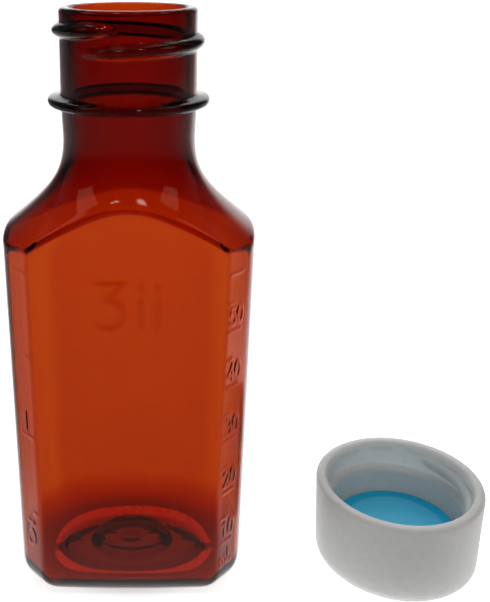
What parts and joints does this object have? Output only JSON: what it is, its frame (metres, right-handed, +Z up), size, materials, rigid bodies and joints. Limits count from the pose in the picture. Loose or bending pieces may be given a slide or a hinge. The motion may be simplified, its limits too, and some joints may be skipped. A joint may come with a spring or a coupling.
{
  "type": "medicine bottle",
  "caption": "Clear amber oblong medicine bottle with a flat front, slanting graduated side panels and a threaded neck, standing open beside its white screw cap with a blue liner disc.",
  "frame": {"origin": "On the table, under the middle of the box round the bottle and its cap together", "axes": "+Z up along the bottle, the bottle's flat front faces -Y, the cap stands on the bottle's +X side"},
  "size_m": [0.0818, 0.0318, 0.0968],
  "materials": {
    "amber_plastic": "clear amber blown plastic, glossy",
    "white_plastic": "white moulded plastic, fine satin",
    "blue_liner": "smooth blue foam liner, satin"
  },
  "bodies": {
    "root": {"bottle": "amber_plastic", "screw_cap": "white_plastic", "cap_liner": "blue_liner"}
  },
  "joints": []
}
